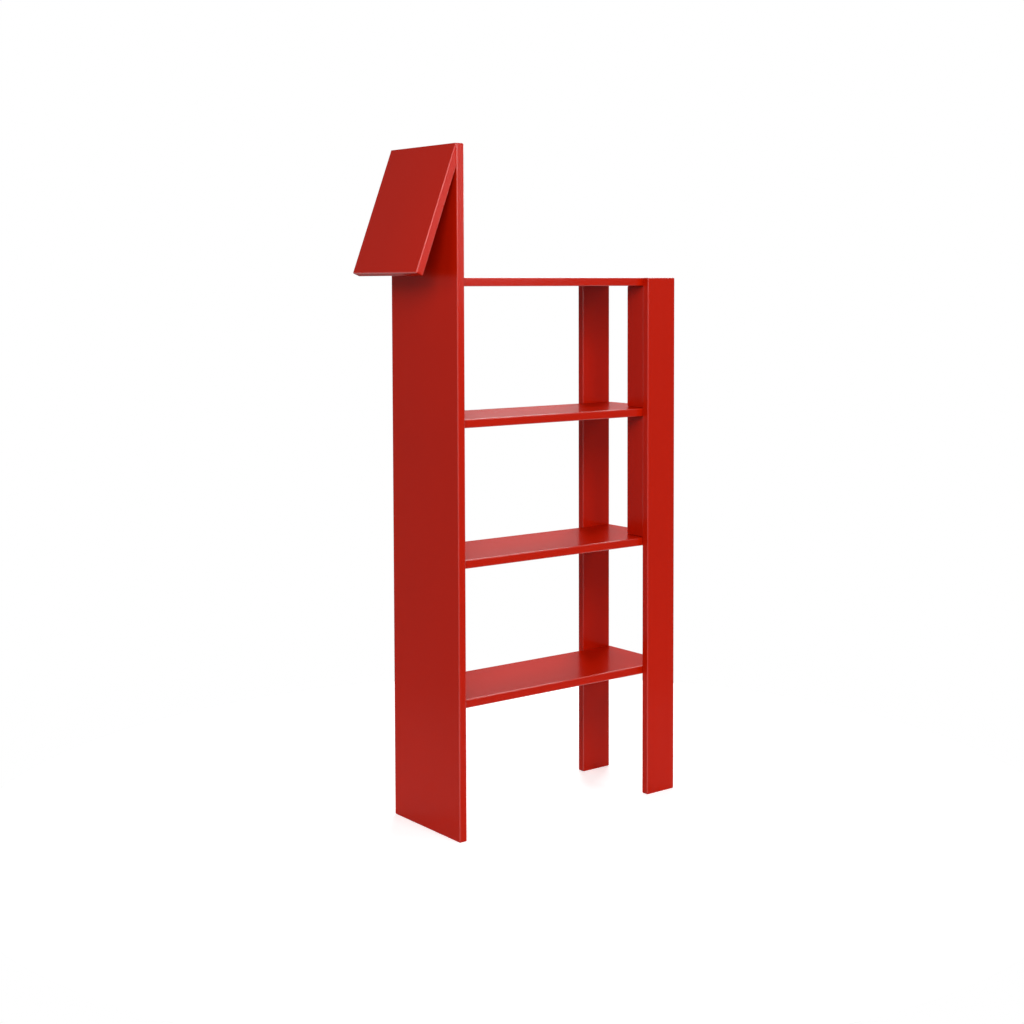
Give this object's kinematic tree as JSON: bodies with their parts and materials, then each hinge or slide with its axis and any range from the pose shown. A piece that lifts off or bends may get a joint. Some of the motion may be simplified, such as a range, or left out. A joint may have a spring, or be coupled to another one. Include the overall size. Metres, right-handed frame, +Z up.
{
  "type": "children's bookcase",
  "caption": "Red children's bookcase shaped like a giraffe: a tall side board with a sloping head board, open shelves, two narrow legs and short tail boards.",
  "frame": {"origin": "middle of the outline on the floor, head board included", "axes": "+Z up; +X along the shelves, from the neck and head to the legs; -Y is the front"},
  "size_m": [0.7006, 0.243, 1.44],
  "materials": {
    "red_lacquer": "satin red lacquer all over, edges eased",
    "zinc_plate": "bright zinc-plated steel",
    "zinc_casting": "die-cast zinc alloy, dull",
    "beech": "plain turned beech"
  },
  "bodies": {
    "root": {"neck_panel": "red_lacquer", "head_panel": "red_lacquer", "top_shelf": "red_lacquer", "upper_shelf": "red_lacquer", "middle_shelf": "red_lacquer", "lower_shelf": "red_lacquer", "front_leg": "red_lacquer", "back_leg": "red_lacquer", "upper_tail_board": "red_lacquer", "lower_tail_board": "red_lacquer", "top_shelf_cam_bolt_neck_front": "zinc_plate", "top_shelf_cam_lock_neck_front": "zinc_casting", "top_shelf_cam_bolt_neck_back": "zinc_plate", "top_shelf_cam_lock_neck_back": "zinc_casting", "top_shelf_cam_bolt_front_leg": "zinc_plate", "top_shelf_cam_lock_front_leg": "zinc_casting", "top_shelf_cam_bolt_back_leg": "zinc_plate", "top_shelf_cam_lock_back_leg": "zinc_casting", "top_shelf_dowel_neck": "beech", "top_shelf_dowel_front_leg": "beech", "top_shelf_dowel_back_leg": "beech", "upper_shelf_cam_bolt_neck_front": "zinc_plate", "upper_shelf_cam_lock_neck_front": "zinc_casting", "upper_shelf_cam_bolt_neck_back": "zinc_plate", "upper_shelf_cam_lock_neck_back": "zinc_casting", "upper_shelf_cam_bolt_front_leg": "zinc_plate", "upper_shelf_cam_lock_front_leg": "zinc_casting", "upper_shelf_cam_bolt_back_leg": "zinc_plate", "upper_shelf_cam_lock_back_leg": "zinc_casting", "upper_shelf_dowel_neck": "beech", "upper_shelf_dowel_front_leg": "beech", "upper_shelf_dowel_back_leg": "beech", "middle_shelf_cam_bolt_neck_front": "zinc_plate", "middle_shelf_cam_lock_neck_front": "zinc_casting", "middle_shelf_cam_bolt_neck_back": "zinc_plate", "middle_shelf_cam_lock_neck_back": "zinc_casting", "middle_shelf_cam_bolt_front_leg": "zinc_plate", "middle_shelf_cam_lock_front_leg": "zinc_casting", "middle_shelf_cam_bolt_back_leg": "zinc_plate", "middle_shelf_cam_lock_back_leg": "zinc_casting", "middle_shelf_dowel_neck": "beech", "middle_shelf_dowel_front_leg": "beech", "middle_shelf_dowel_back_leg": "beech", "lower_shelf_cam_bolt_neck_front": "zinc_plate", "lower_shelf_cam_lock_neck_front": "zinc_casting", "lower_shelf_cam_bolt_neck_back": "zinc_plate", "lower_shelf_cam_lock_neck_back": "zinc_casting", "lower_shelf_cam_bolt_front_leg": "zinc_plate", "lower_shelf_cam_lock_front_leg": "zinc_casting", "lower_shelf_cam_bolt_back_leg": "zinc_plate", "lower_shelf_cam_lock_back_leg": "zinc_casting", "lower_shelf_dowel_neck": "beech", "lower_shelf_dowel_front_leg": "beech", "lower_shelf_dowel_back_leg": "beech", "tail_dowel_top": "beech", "tail_dowel_middle": "beech", "tail_dowel_bottom": "beech", "head_screw_front": "zinc_plate", "head_screw_middle": "zinc_plate", "head_screw_back": "zinc_plate"}
  },
  "joints": []
}
